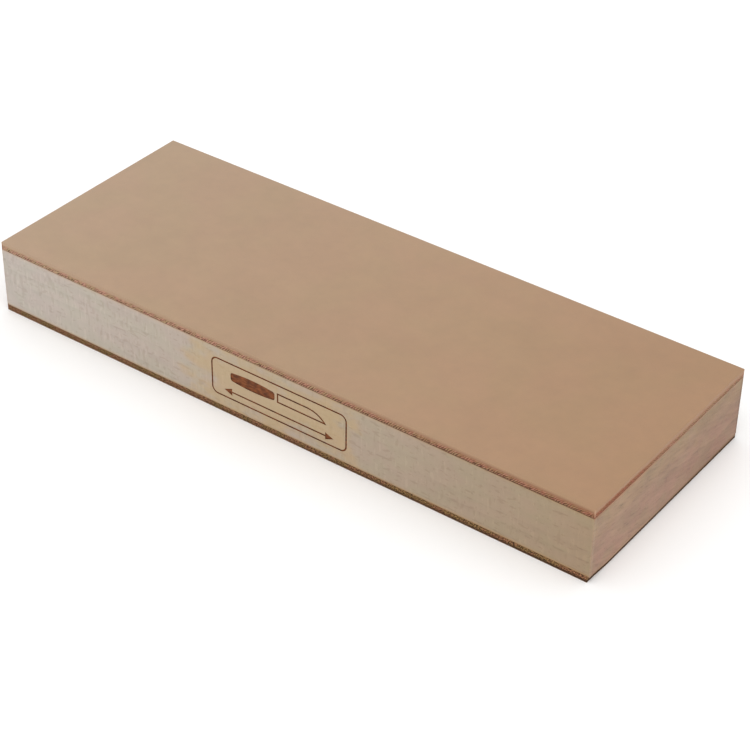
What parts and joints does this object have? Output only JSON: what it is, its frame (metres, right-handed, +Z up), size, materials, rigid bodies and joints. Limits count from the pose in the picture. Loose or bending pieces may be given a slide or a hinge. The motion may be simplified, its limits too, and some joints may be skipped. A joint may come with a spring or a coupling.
{
  "type": "bench strop",
  "caption": "Flat hardwood bench strop with smooth leather glued on top and suede-side leather underneath, for polishing carving edges.",
  "frame": {"origin": "centre of the underside, on the surface that the strop rests on", "axes": "+X along the length, +Y across the width and away from the engraved edge, +Z up out of the smooth leather"},
  "size_m": [0.2032, 0.0762, 0.0236],
  "materials": {
    "grain_leather": "smooth matt natural tan",
    "suede_leather": "napped flesh side, mid brown",
    "hardwood": "bare sanded pale maple with a burnt engraving",
    "contact_cement": "dried amber film"
  },
  "bodies": {
    "root": {"bottom_leather": "suede_leather", "bottom_glue_film": "contact_cement", "wood_block": "hardwood", "top_glue_film": "contact_cement", "top_leather": "grain_leather"}
  },
  "joints": []
}
